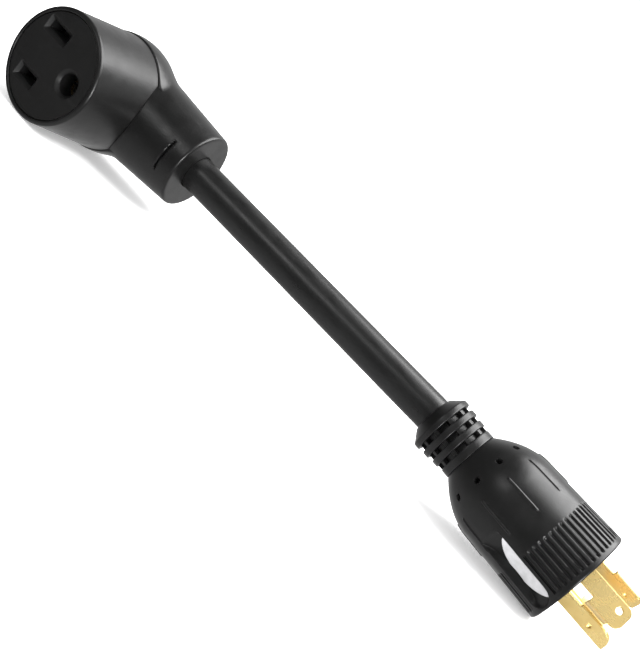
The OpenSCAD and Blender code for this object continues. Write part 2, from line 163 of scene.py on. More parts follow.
def turned(name, radius, height, angles, place, sharp_angle=None):
    """Surface about z from arrays of radius and height, rows by columns."""
    a = np.radians(angles)[None, :]
    points = np.stack([radius * np.cos(a), radius * np.sin(a), height + 0 * a], -1)
    rows, cols = radius.shape
    faces = grid_faces(rows, cols)
    return mesh_object(name, placed(points, place), faces, sharp_angle)


def rounded(points, radii, steps=6):
    """Profile through [r, h] corners, with each corner rounded to its radius."""
    out = []
    n = len(points)
    for i, (p, rad) in enumerate(zip(points, radii)):
        p = np.array(p, float)
        if rad <= 0 or i in (0, n - 1):
            out.append(p)
            continue
        a = np.array(points[i - 1], float) - p
        b = np.array(points[i + 1], float) - p
        a, b = a / np.linalg.norm(a), b / np.linalg.norm(b)
        half = math.acos(float(np.clip(a @ b, -1, 1))) / 2
        reach = rad / math.tan(half)
        centre = p + (a + b) / np.linalg.norm(a + b) * rad / math.sin(half)
        s, e = p + a * reach - centre, p + b * reach - centre
        turn_by = math.atan2(s[0] * e[1] - s[1] * e[0], s @ e)
        for k in range(steps + 1):
            t = turn_by * k / steps
            c, d = math.cos(t), math.sin(t)
            out.append(centre + [s[0] * c - s[1] * d, s[0] * d + s[1] * c])
    return np.array(out)


def spread(profile, step):
    """The same profile with points no further apart than step, keeping its own points."""
    out = [profile[0]]
    for p, q in zip(profile[:-1], profile[1:]):
        n = max(1, int(math.ceil(np.linalg.norm(q - p) / step)))
        out += [p + (q - p) * (k + 1) / n for k in range(n)]
    return np.array(out)


def normals_of(profile):
    """Outward normals of an [r, h] profile that runs with its solid on the left."""
    d = np.gradient(profile, axis=0)
    d /= np.linalg.norm(d, axis=1, keepdims=True) + 1e-12
    return np.stack([d[:, 1], -d[:, 0]], -1)


def near_angle(angles, centres):
    """Signed angle from each of angles to the nearest of centres, in degrees."""
    d = (np.asarray(angles)[:, None] - np.asarray(centres)[None, :] + 180) % 360 - 180
    return d[np.arange(len(d)), np.abs(d).argmin(1)]


# ---- Materials ----


class Tree:
    """A node tree, with short calls for adding nodes."""

    def __init__(self, tree):
        self.tree = tree

    def add(self, kind, inputs=None, **settings):
        node = self.tree.nodes.new(kind)
        for key, value in settings.items():
            setattr(node, key, value)
        for key, value in (inputs or {}).items():
            self.put(node.inputs[key], value)
        return node

    def put(self, socket, value):
        if isinstance(value, bpy.types.NodeSocket):
            self.tree.links.new(value, socket)
        else:
            socket.default_value = value

    def fit(self, value, from_low, from_high, to_low, to_high):
        return self.add("ShaderNodeMapRange", {
            "Value": value, "From Min": from_low, "From Max": from_high,
            "To Min": to_low, "To Max": to_high}).outputs["Result"]

    def maths(self, how, a, b):
        return self.add("ShaderNodeMath", {0: a, 1: b}, operation=how).outputs[0]


class Nodes(Tree):
    """A material's node tree, with short calls for what the materials here need."""

    def __init__(self, name):
        self.mat = bpy.data.materials.new(name)
        self.mat.use_nodes = True
        super().__init__(self.mat.node_tree)
        self.shader = self.tree.nodes["Principled BSDF"]
        self.coords = self.add("ShaderNodeTexCoord").outputs["Object"]

    def stretched(self, scale, turned_by=(0, 0, 0)):
        return self.add("ShaderNodeMapping", {
            "Vector": self.coords, "Rotation": turned_by, "Scale": scale}).outputs[0]

    def noise(self, scale, detail=4.0, rough=0.55, vector=None):
        return self.add("ShaderNodeTexNoise", {
            "Vector": vector or self.coords, "Scale": scale, "Detail": detail,
            "Roughness": rough}).outputs["Fac"]

    def mix(self, factor, a, b):
        """Mix of two colours; the node's colour sockets are numbers 6 and 7, and 2 on the way out."""
        return self.add("ShaderNodeMix", {0: factor, 6: a, 7: b}, data_type="RGBA").outputs[2]

    def bump(self, height, strength, distance, normal=None):
        inputs = {"Height": height, "Strength": strength, "Distance": distance}
        if normal is not None:
            inputs["Normal"] = normal
        return self.add("ShaderNodeBump", inputs).outputs["Normal"]

    def set(self, **values):
        for key, value in values.items():
            self.put(self.shader.inputs[key.replace("_", " ")], value)
        return self.mat


def grey(v, warm=0.0):
    return (v * (1 + warm), v, v * (1 - warm), 1)


def moulded(name, colour, rough, grain=0.00002, specks=0.01):
    """Moulded black vinyl: fine leathery grain, flow marks, convex edges painted lighter as a painted
    highlight, and a little dust.
    """
    n = Nodes(name)
    flow = n.noise(42, 3, 0.5)
    fine = n.noise(2600, 3, 0.6)
    pores = n.add("ShaderNodeTexVoronoi", {
        "Vector": n.coords, "Scale": 1500.0, "Randomness": 1.0}).outputs["Distance"]
    handled = n.noise(160, 5, 0.6)
    # Painted highlight: convex edges, found by the mesh's pointiness, are painted lighter in the base colour
    painted_edge_highlight = n.fit(n.add("ShaderNodeNewGeometry").outputs["Pointiness"], 0.515, 0.56, 0.0, 0.5)
    dust = n.fit(n.noise(900, 2, 0.5), 0.70, 0.78, 0.0, specks)
    base = n.mix(n.fit(flow, 0.3, 0.7, 0.0, 1.0), grey(colour * 0.86), grey(colour * 1.14, 0.01))
    base = n.mix(painted_edge_highlight, base, grey(colour * 2.2))
    base = n.mix(dust, base, grey(0.35, 0.03))
    roughness = n.maths("ADD", n.fit(handled, 0.3, 0.7, rough - 0.05, rough + 0.06),
                        n.fit(fine, 0.3, 0.7, -0.02, 0.02))
    grain_height = n.maths("ADD", fine, n.maths("MULTIPLY", pores, 0.6))
    normal = n.bump(grain_height, 0.55, grain)
    normal = n.bump(flow, 0.25, grain * 12, normal)
    return n.set(Base_Color=base, Roughness=roughness, Normal=normal)


def jacket(name, colour, rough):
    """Extruded cable jacket: faint die lines along the cable, a soft sheen and scuffs."""
    n = Nodes(name)
    lines = n.noise(1.0, 2, 0.5, n.stretched((6, 700, 700)))
    scuff = n.noise(1.0, 5, 0.65, n.stretched((90, 260, 260)))
    fine = n.noise(2200, 3, 0.6)
    base = n.mix(n.fit(scuff, 0.35, 0.7, 0.0, 1.0), grey(colour), grey(colour * 1.35))
    base = n.mix(n.fit(n.noise(700, 2, 0.5), 0.72, 0.80, 0.0, 0.015), base, grey(0.2))
    roughness = n.maths("ADD", n.fit(scuff, 0.3, 0.7, rough - 0.05, rough + 0.07),
                        n.fit(lines, 0.3, 0.7, -0.03, 0.03))
    normal = n.bump(lines, 0.35, 0.00004)
    normal = n.bump(fine, 0.4, 0.00002, normal)
    return n.set(Base_Color=base, Roughness=roughness, Normal=normal)


def stamped(name, colour, dark, rough, metallic=1.0):
    """Stamped metal: faint rolling lines along the part and patches of tarnish."""
    n = Nodes(name)
    rolled = n.noise(1.0, 3, 0.6, n.stretched((60, 2200, 2200)))
    tarnish = n.noise(120, 3, 0.5)
    base = n.mix(n.fit(tarnish, 0.42, 0.72, 0.0, 0.7), colour, dark)
    roughness = n.maths("ADD", n.fit(tarnish, 0.3, 0.7, rough - 0.02, rough + 0.04),
                        n.fit(rolled, 0.3, 0.7, -0.01, 0.01))
    normal = n.bump(rolled, 0.03, 0.00001)
    return n.set(Base_Color=base, Metallic=metallic, Roughness=roughness, Normal=normal)


def plain_plastic(name, colour, rough):
    """Moulded or extruded plastic inside the part."""
    n = Nodes(name)
    clouds = n.noise(300, 4, 0.6)
    darker = tuple(c * 0.75 for c in colour[:3]) + (1,)
    base = n.mix(n.fit(clouds, 0.3, 0.7, 0.0, 1.0), colour, darker)
    return n.set(Base_Color=base, Roughness=n.fit(clouds, 0.3, 0.7, rough - 0.06, rough + 0.06),
                 Normal=n.bump(n.noise(2400, 3, 0.6), 0.4, 0.00002))


def fibre(name, colour):
    """Twisted filler fibre."""
    n = Nodes(name)
    twist = n.add("ShaderNodeTexWave", {"Vector": n.stretched((1, 1, 1), (0, 0.6, 0.6)), "Scale": 900.0,
                                       "Distortion": 3.0, "Detail": 3.0}).outputs["Fac"]
    base = n.mix(twist, colour, tuple(c * 0.6 for c in colour[:3]) + (1,))
    return n.set(Base_Color=base, Roughness=0.9, Normal=n.bump(twist, 0.6, 0.0001))


housing_black = moulded("housing_vinyl", 0.0045, 0.34)
face_black = moulded("face_vinyl", 0.004, 0.50, grain=0.00003)
plug_black = moulded("plug_vinyl", 0.0045, 0.34)
carrier_black = moulded("carrier_nylon", 0.006, 0.55)
jacket_black = jacket("cable_jacket", 0.005, 0.34)
brass = stamped("blade_brass", (0.88, 0.67, 0.28, 1), (0.78, 0.56, 0.20, 1), 0.26, 0.78)
contact = stamped("contact_brass", (0.86, 0.66, 0.34, 1), (0.60, 0.42, 0.20, 1), 0.34)
copper = stamped("copper", (0.85, 0.42, 0.24, 1), (0.55, 0.24, 0.12, 1), 0.35)
inlay_grey = plain_plastic("inlay_grey", (0.42, 0.42, 0.43, 1), 0.42)
steel = stamped("clamp_steel", (0.60, 0.61, 0.62, 1), (0.42, 0.43, 0.44, 1), 0.35)
INNER = {
    "contact_retainer": plain_plastic("retainer_nylon", (0.72, 0.70, 0.62, 1), 0.45),
    "line_contact_a": contact, "line_contact_b": contact, "ground_contact": contact,
    "cable_clamp_ring": steel,
    "cable_filler": fibre("filler_fibre", (0.70, 0.64, 0.50, 1)),
    "line_a_insulation": plain_plastic("wire_black", (0.03, 0.03, 0.03, 1), 0.4),
    "line_b_insulation": plain_plastic("wire_red", (0.50, 0.05, 0.04, 1), 0.4),
    "ground_insulation": plain_plastic("wire_green", (0.05, 0.30, 0.10, 1), 0.4),
    "line_a_core": copper, "line_b_core": copper, "ground_core": copper,
    "terminal_block": plain_plastic("terminal_nylon", (0.28, 0.28, 0.29, 1), 0.5),
    "hot_x_terminal": contact, "hot_y_terminal": contact, "ground_terminal": contact,
}
for node, material in INNER.items():
    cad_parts[node].data.materials.clear()
    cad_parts[node].data.materials.append(material)


def finish_piece(obj, material, slot, *nodes):
    """Gives a new piece its material and body, and hides the CAD nodes it stands for; the slot argument is not
    used.
    """
    obj.data.materials.clear()
    obj.data.materials.append(material)
    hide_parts(*nodes)
    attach(obj, "root")
    return obj


# ---- Camera ----

camera = bpy.data.objects.new("camera", bpy.data.cameras.new("camera"))
bpy.context.scene.collection.objects.link(camera)
bpy.context.scene.camera = camera
camera.data.sensor_width = 36.0
camera.data.lens = 60.55
CAMERA_AT = Vector((0.1147, -0.4335, 0.1133))
LOOK = Vector((-0.241, 0.950, -0.198)).normalized()
SIDE = LOOK.cross(Vector((-0.697, -0.027, 0.716))).normalized()
UP = SIDE.cross(LOOK)
camera.matrix_world = Matrix.Translation(CAMERA_AT) @ Matrix((SIDE, UP, -LOOK)).transposed().to_4x4()
camera.data.clip_start = 0.01
camera.data.clip_end = 50.0

# ---- Cable ----

CABLE_ENTRY = 6.0     # length of jacket shown inside the arm's mouth
BOOT_ENTRY = 3.0      # length of jacket shown inside the boot
cable_route = [row_point(HEAD, (ARM_LEN - inside, 0, 0)) for inside in (CABLE_ENTRY, CABLE_ENTRY / 2)]
cable_route += [((d - MID_X) * MM, -MID_Y * MM, CABLE_Z * MM) for d in range(8, 141, 12)]
cable_route += [row_point(PLUG, (0, 0, 0)), row_point(PLUG, (0, 0, BOOT_ENTRY))]

curve = bpy.data.curves.new("cable_jacket_piece", "CURVE")
curve.dimensions = "3D"
curve.bevel_depth = CABLE_R * MM
curve.bevel_resolution = 24
curve.resolution_u = 8
curve.use_fill_caps = True
spline = curve.splines.new("BEZIER")
spline.bezier_points.add(len(cable_route) - 1)
for knot, point in zip(spline.bezier_points, cable_route):
    knot.co = point
    knot.handle_left_type = knot.handle_right_type = "AUTO"
cable = finish_piece(new_object("cable_jacket_piece", curve), jacket_black, "cable_jacket", "cable_jacket")

# ---- Socket: front shell ----


def head_of_socket(points):
    """Points of the socket's frame in the head's frame, in millimetres."""
    m = np.array(HEAD.inverted() @ SOCKET)
    return points @ m[:3, :3].T + m[:3, 3]


def shell_r(w):
    return FACE_R + (SLEEVE_REAR_R - FACE_R) * (FACE_TO_ARM - w) / SLEEVE_LEN


def cone_r(x):
    """Radius of the arm at distance x from the socket's axis."""
    return ARM_ROOT_R + (ARM_END_R - ARM_ROOT_R) * x / ARM_LEN


def above_arm(theta, w):
    """Distance from a point on the shell to the arm's surface."""
    r = shell_r(w)
    p = head_of_socket(np.stack([r * np.cos(theta), r * np.sin(theta), w], -1))
    outside = np.hypot(p[..., 1], p[..., 2]) - cone_r(p[..., 0])
    return np.where(p[..., 0] > 0, outside, 99.0)


REAR_EDGE = SLEEVE_BACK + 0.05
ARCH_GAP = 0.25       # between the arch and the arm
LIP = 0.8             # radius of the shell's rear edge
FRONT_ROUND = 1.6     # radius of its front edge
SLEEVE_COLS = 360


def shell_end(theta):
    """Height of the shell's rear edge: its rim, or the arch over the arm."""
    low = np.full_like(theta, REAR_EDGE)
    arched = above_arm(theta, low) < ARCH_GAP
    a, b = low.copy(), np.full_like(theta, FACE_TO_ARM - 10)
    for _ in range(40):
        mid = (a + b) / 2
        inside = above_arm(theta, mid) < ARCH_GAP
        a, b = np.where(inside, mid, a), np.where(inside, b, mid)
    return np.where(arched, b, low)


def in_arch(end):
    return end > REAR_EDGE + 0.01


def make_sleeve():
    cols = SLEEVE_COLS
    angles = even_angles(cols)
    theta = np.radians(angles)
    end = shell_end(theta)
    # The column beside each of the arch's two corners moves onto it
    for i in range(cols):
        j = (i + 1) % cols
        arched = in_arch(end[i])
        if arched == in_arch(end[j]):
            continue
        lo, hi = theta[i], theta[i] + math.radians(360 / cols)
        for _ in range(30):
            mid = (lo + hi) / 2
            if in_arch(shell_end(np.array([mid]))[0]) == arched:
                lo = mid
            else:
                hi = mid
        k = j if arched else i
        theta[k] = lo
        angles[k] = math.degrees(lo)
        end[k] = REAR_EDGE
    inner = INSERT_R + 0.15
    deep = FACE_TO_ARM - 6
    front = rounded([[inner, deep], [inner, FACE_TO_ARM], [FACE_R, FACE_TO_ARM], [FACE_R + 0.3, deep]],
                    [0, 0.5, FRONT_ROUND, 0], 8)
    rows = [(np.full(cols, r), np.full(cols, h)) for r, h in front[:-1]]
    top = FACE_TO_ARM - FRONT_ROUND
    for t in np.linspace(0, 1, 90)[1:]:
        h = top + (end + LIP - top) * t
        rows.append((shell_r(h), h))
    for a in np.radians(np.linspace(0, 90, 6)[1:]):
        rows.append((shell_r(end) - LIP * (1 - math.cos(a)), end + LIP * (1 - math.sin(a))))
    rows.append((shell_r(end) - 2.6, end))
    rows_r, rows_h = zip(*rows)
    obj = turned("socket_sleeve_piece", np.array(rows_r), np.array(rows_h), angles, SOCKET, 50)
    return finish_piece(obj, housing_black, "housing_vinyl", "socket_sleeve")


make_sleeve()

# ---- Socket: face ----


def outline_of(corners, radius, steps=5):
    """Closed outline through [x, y] corners, anticlockwise, each rounded to radius."""
    looped = [corners[-1]] + list(corners) + [corners[0]]
    return rounded(looped, [0] + [radius] * len(corners) + [0], steps)[1:-1]


def slot_outline(slot, grow):
    v, length = slot
    radius = 0.25 + 0.45 * max(grow, 0) / LEAD_IN
    half_len, half_w = length / 2 + grow * LEAD_END / LEAD_IN, SLOT_W / 2 + grow
    return outline_of([(SLOT_U - half_len, v - half_w), (SLOT_U + half_len, v - half_w),
                       (SLOT_U + half_len, v + half_w), (SLOT_U - half_len, v + half_w)], radius)


def ground_outline(grow):
    return circle(GROUND_R + grow, 96) + (GROUND_U, GROUND_V)


def well(outline, rows):
    """Walls of a hole: outline(grow) at each [grow, w] of rows, from the face down, and its bottom."""
    rings = [np.column_stack([outline(grow), np.full(len(outline(grow)), w)]) for grow, w in rows]
    cols = len(rings[0])
    faces = grid_faces(len(rings), cols)[:, ::-1].tolist()
    faces.append([(len(rings) - 1) * cols + k for k in range(cols)])
    return np.vstack(rings), faces


def filled(outlines, **settings):
    """Mesh of a flat curve that fills the space between the first outline and the others."""
    data = bpy.data.curves.new("fill", "CURVE")
    data.dimensions = "2D"
    data.fill_mode = "BOTH"
    for key, value in settings.items():
        setattr(data, key, value)
    for outline in outlines:
        line = data.splines.new("POLY")
        line.points.add(len(outline) - 1)
        line.use_cyclic_u = True
        for knot, (x, y) in zip(line.points, outline):
            knot.co = (x, y, 0, 1)
    source = new_object("fill", data)
    graph = bpy.context.evaluated_depsgraph_get()
    graph.update()
    mesh = bpy.data.meshes.new_from_object(source.evaluated_get(graph))
    bpy.data.objects.remove(source)
    bpy.data.curves.remove(data)
    return mesh


def flat_fill(outlines, w):
    """Points and faces of a flat face between the first outline and the others, at height w."""
    mesh = filled(outlines)
    points = np.array([tuple(v.co) for v in mesh.vertices])
    points[:, 2] = w
    faces = [list(p.vertices) for p in mesh.polygons if p.area > 0]
    if sum(p.normal.z for p in mesh.polygons) < 0:
        faces = [f[::-1] for f in faces]
    bpy.data.meshes.remove(mesh)
    return points, faces


def welded(name, parts, place, sharp_angle):
    """One object from lists of points and faces, with points that coincide merged."""
    bm = bmesh.new()
    for points, faces in parts:
        verts = [bm.verts.new(p) for p in placed(points, place)]
        for face in faces:
            bm.faces.new([verts[k] for k in face])
    bmesh.ops.remove_doubles(bm, verts=bm.verts, dist=0.004 * MM)
    bmesh.ops.recalc_face_normals(bm, faces=bm.faces)
    mesh = bpy.data.meshes.new(name)
    bm.to_mesh(mesh)
    bm.free()
    shade(mesh, sharp_angle)
    return new_object(name, mesh)


def eased(grow0, w0, grow1, w1, radius, steps=4):
    """Rows of [grow, w] over the rounded edge between the face and a bevel, and down the bevel."""
    rows = rounded([[grow0 + radius * 3, w0], [grow0, w0], [grow1, w1]], [0, radius, 0], steps)
    return [tuple(r) for r in rows[1:]]


INSERT_DEPTH = 13.0
WELL_FLOOR = 2.0      # above the insert's back
GROUND_LEAD = 1.5     # width of the bevel round the ground hole
MOUTH_ROUND = 0.22    # radius of the edges between the face and the bevels


def make_face():
    top = FACE_TO_ARM - FACE_RECESS
    back = FACE_TO_ARM - INSERT_DEPTH
    bottom = (0, back + WELL_FLOOR)
    cols = 192
    rim = rounded([[INSERT_R - 3, top], [INSERT_R, top], [INSERT_R, back]], [0, 0.55, 0], 6)[1:]
    rim_rings = np.vstack([np.column_stack([circle(r, cols), np.full(cols, w)]) for r, w in rim])
    rim_faces = grid_faces(len(rim), cols).tolist()
    rim_faces.append([(len(rim) - 1) * cols + k for k in range(cols)])

    slot_rows = eased(LEAD_IN, top, 0, top - LEAD_IN, MOUTH_ROUND)[:-1]
    slot_rows += [(0.12, top - LEAD_IN + 0.12), (0.02, top - LEAD_IN - 0.04), (0, top - LEAD_IN - 0.2), bottom]
    ground_rows = eased(GROUND_LEAD, top, 0, top - 1.4, MOUTH_ROUND)[:-1]
    ground_rows += [(0.1, top - 1.3), (0.02, top - 1.45), (0, top - 1.6), bottom]
    holes = [(partial(slot_outline, slot), slot_rows) for slot in SLOTS] + [(ground_outline, ground_rows)]
    parts = [(rim_rings, rim_faces)] + [well(outline, rows) for outline, rows in holes]
    mouths = [outline(rows[0][0]) for outline, rows in holes]
    parts.append(flat_fill([circle(rim[0][0], cols)] + mouths, top))
    obj = welded("socket_face_piece", parts, SOCKET, 40)
    return finish_piece(obj, face_black, "face_vinyl", "socket_face_insert")


make_face()

# ---- Socket: elbow ----


def surface_net(field, low, high, step):
    """Quads on the zero level of field, one point to each cell that it crosses."""
    axes = [np.arange(a, b + step, step) for a, b in zip(low, high)]
    grid = np.stack(np.meshgrid(*axes, indexing="ij"), -1)
    inside = (field(grid.reshape(-1, 3)) < 0).reshape(grid.shape[:3])
    x, y, z = (n - 1 for n in inside.shape)
    corners = sum(inside[i:x + i, j:y + j, k:z + k].astype(int) for i in (0, 1) for j in (0, 1) for k in (0, 1))
    crossed = (corners > 0) & (corners < 8)
    index = -np.ones(crossed.shape, int)
    index[crossed] = np.arange(crossed.sum())
    points = grid[:-1, :-1, :-1][crossed] + step / 2
    faces = []
    for axis in range(3):
        u, v = [(1, 2), (2, 0), (0, 1)][axis]
        first = [slice(1, -1)] * 3
        second = [slice(1, -1)] * 3
        first[axis] = slice(0, -1)
        second[axis] = slice(1, None)
        a, b = inside[tuple(first)], inside[tuple(second)]
        at = np.argwhere(a != b)
        leaving = a[a != b]
        at[:, [u, v]] += 1

        def cell(du, dv):
            c = at.copy()
            c[:, u] += du
            c[:, v] += dv
            return index[c[:, 0], c[:, 1], c[:, 2]]

        quad = np.stack([cell(-1, -1), cell(0, -1), cell(0, 0), cell(-1, 0)], -1)
        quad[~leaving] = quad[~leaving][:, ::-1]
        faces.append(quad)
    return points, np.vstack(faces)


def settle(points, faces, field, rounds=5, step=0.05):
    """Evens out the points and moves them onto the zero level of field."""
    edges = np.vstack([faces[:, [0, 1]], faces[:, [1, 2]], faces[:, [2, 3]], faces[:, [3, 0]]])
    count = np.bincount(edges[:, 0], minlength=len(points)) + np.bincount(edges[:, 1], minlength=len(points))

    def onto(p):
        for _ in range(3):
            g = np.stack([field(p + d) - field(p - d) for d in np.eye(3) * step], -1) / (2 * step)
            p = p - (field(p) / np.maximum((g * g).sum(1), 0.2))[:, None] * g
        return p

    for _ in range(rounds):
        total = np.zeros_like(points)
        for a, b in ((0, 1), (1, 0)):
            for k in range(3):
                total[:, k] += np.bincount(edges[:, a], points[edges[:, b], k], len(points))
        points = onto(0.4 * points + 0.6 * total / count[:, None])
    return points


def soft_min(a, b, k):
    h = np.clip(0.5 + 0.5 * (b - a) / k, 0, 1)
    return b + (a - b) * h - k * h * (1 - h)


def soft_max(a, b, k):
    return -soft_min(-a, -b, k)


SOCKET_AXIS = np.array((HEAD.inverted() @ SOCKET).inverted())[2, :3]
BALL_AT = head_of_socket(np.array([[0, 0, BALL_OFF]]))[0]
ARM_SLOPE = math.cos(math.atan((ARM_ROOT_R - ARM_END_R) / ARM_LEN))
ARM_END_BLEND = 1.4
ARM_ROOT_BLEND = 1.0
HEEL_BLEND = 2.0
HEEL_EDGE = 0.6
MOUTH_DEPTH = 4.0
GROOVE_AT = 8.4       # from the end of the arm
GROOVE_HALF = 23.0    # half its length, in degrees
GROOVE_HALF_W = 0.6
GROOVE_DEPTH = 1.7
NET_STEP = 0.5


def elbow_field(p):
    """Distance to the elbow's surface: a ball, blended into a tapered arm with a rounded end."""
    ball = np.linalg.norm(p - BALL_AT, axis=1) - BALL_R
    radial = np.hypot(p[:, 1], p[:, 2])
    cone = (radial - cone_r(np.clip(p[:, 0], 0, None))) * ARM_SLOPE
    arm = soft_max(cone, p[:, 0] - ARM_LEN, ARM_END_BLEND)
    arm = soft_max(arm, -p[:, 0], ARM_ROOT_BLEND)
    blend = soft_min(ball, arm, HEEL_BLEND)
    heel = soft_max(blend, p @ SOCKET_AXIS - SLEEVE_BACK, HEEL_EDGE)
    body = np.minimum(heel, arm)
    mouth = np.maximum(radial - CABLE_R - 0.1, ARM_LEN - MOUTH_DEPTH - p[:, 0])
    return soft_max(body, -mouth, 0.5)


def grooved_field(p):
    """The elbow with its two short grooves near the end of the arm."""
    body = elbow_field(p)
    radial = np.hypot(p[:, 1], p[:, 2])
    across = np.abs(p[:, 0] - (ARM_LEN - GROOVE_AT)) - GROOVE_HALF_W
    angle = np.abs(np.degrees(np.arctan2(p[:, 2], np.abs(p[:, 1]))))
    along = (angle - GROOVE_HALF) * math.radians(1) * ARM_END_R
    deep = cone_r(ARM_LEN - GROOVE_AT) - GROOVE_DEPTH - radial
    return soft_max(body, -np.maximum(np.maximum(across, along), deep), 0.25)


def make_elbow():
    low = (-BALL_R - 3, -ARM_ROOT_R - 2, -BALL_R - 1)
    high = (ARM_LEN + 1, BALL_R + 3, BALL_R + 1)
    points, faces = surface_net(grooved_field, low, high, NET_STEP)
    points = settle(points, faces, grooved_field)
    obj = mesh_object("elbow_housing_piece", placed(points, HEAD), faces, 60)
    return finish_piece(obj, housing_black, "housing_vinyl", "elbow_housing")


make_elbow()

# ---- Plug: strain relief ----

BOOT_END = 23.4
BOOT_GROOVES = 3
BOOT_FIRST = 8.1      # middle of the first groove
BOOT_PITCH = 5.2
BOOT_GROOVE = 2.2
BOOT_R = 14.0
BOOT_TAPER = 0.5
BOOT_FOOT_R = 10.9
BRIDGE_R = 12.1
WINDOW_R = 9.9
BRIDGE_ANGLE = 10.0
BOOT_COLS = 440


def make_boot():
    corners = [[CABLE_R + 0.05, 2.5], [CABLE_R + 0.1, 0.4], [CABLE_R + 1.0, 0.4], [BOOT_R - 0.1, 4.5]]
    radii = [0, 0.25, 0.4, 0.7]
    for k in range(BOOT_GROOVES):
        c = BOOT_FIRST + k * BOOT_PITCH
        r = BOOT_R - k * BOOT_TAPER
        corners += [[r, c - BOOT_GROOVE / 2], [BRIDGE_R, c - BOOT_GROOVE / 2],
                    [BRIDGE_R, c + BOOT_GROOVE / 2], [r - BOOT_TAPER, c + BOOT_GROOVE / 2]]
        radii += [0.45, 0.15, 0.15, 0.45]
    corners += [[BOOT_R - BOOT_GROOVES * BOOT_TAPER, BOOT_END - 0.1], [BOOT_FOOT_R, BOOT_END - 0.1]]
    radii += [0.3, 0]
    profile = spread(rounded(corners, radii, 4), 0.45)
    angles = even_angles(BOOT_COLS)
    off = np.abs(near_angle(angles, SPOKE_AT + even_angles(SPOKES)))
    window = smoothstep(off, BRIDGE_ANGLE / 2 - 0.6, BRIDGE_ANGLE / 2 + 0.6)
    r = np.repeat(profile[:, :1], BOOT_COLS, 1)
    h = np.repeat(profile[:, 1:], BOOT_COLS, 1)
    for k in range(BOOT_GROOVES):
        c = BOOT_FIRST + k * BOOT_PITCH
        in_groove = (np.abs(profile[:, 1] - c) < BOOT_GROOVE / 2 + 0.01) & (profile[:, 0] < BRIDGE_R + 0.2)
        r[in_groove] -= (BRIDGE_R - WINDOW_R) * window[None, :]
    obj = turned("strain_relief_boot_piece", r, h, angles, PLUG, 45)
    return finish_piece(obj, housing_black, "housing_vinyl", "strain_relief_boot")


make_boot()

# ---- Plug: body ----

DOME_R0 = 12.3
DOME_H = 46.0
BODY_R0 = 22.3
RIB_COUNT = 52
RIB_FROM = 65.5
RIB_TO = PLUG_LEN - 3
RIB_DEPTH = 0.9
RIDGE_FROM = 40.0
RIDGE_TO = 56.0
HOLE_H = 32.6
HOLE_R = 1.15
POCKET_W = 11.0
POCKET_FROM = 50.0
POCKET_TO = PLUG_LEN - 1
POCKET_DEPTH = 5.0
POCKET_SKIP = 17.6    # degrees on each side of a pocket that have no ribs
RIDGE_H = 0.45
HOLE_DEPTH = 3.0
RIM_W = 3.25


def body_r(h):
    return BODY_R0 + (PLUG_R - BODY_R0) * (h - DOME_H) / (PLUG_LEN - DOME_H)


def body_profile():
    """Outline of the plug from the boot, over the dome and along the side, to the inside of its rim."""
    t = np.linspace(0, 1, 60)
    dome = np.stack([BODY_R0 - (BODY_R0 - DOME_R0) * (1 - t) ** 2, BOOT_END + (DOME_H - BOOT_END) * t], -1)
    heights = [DOME_H, RIDGE_TO]
    heights += [rib_end + d for rib_end in (RIB_FROM, RIB_TO) for d in (-0.5, 0, 0.5)]
    heights += [PLUG_LEN - 1]
    side = [[body_r(h), h] for h in heights]
    rim = rounded([[body_r(PLUG_LEN - 1), PLUG_LEN - 1], [PLUG_R, PLUG_LEN], [PLUG_R - RIM_W, PLUG_LEN],
                   [PLUG_R - RIM_W, PLUG_LEN - 4]], [0, 0.9, 0.4, 0], 6)[1:]
    return np.vstack([[[11.2, BOOT_END + 0.02]], spread(dome, 0.45), spread(np.array(side), 0.55)[1:], rim])


def scoop_floor(h):
    """Distance of the finger pocket's floor from the plug's axis."""
    half = (POCKET_TO - POCKET_FROM) / 2
    mid = POCKET_FROM + half
    radius = (half ** 2 + POCKET_DEPTH ** 2) / (2 * POCKET_DEPTH)
    return body_r(mid) - POCKET_DEPTH + radius - np.sqrt(np.maximum(radius ** 2 - (h - mid) ** 2, 0))


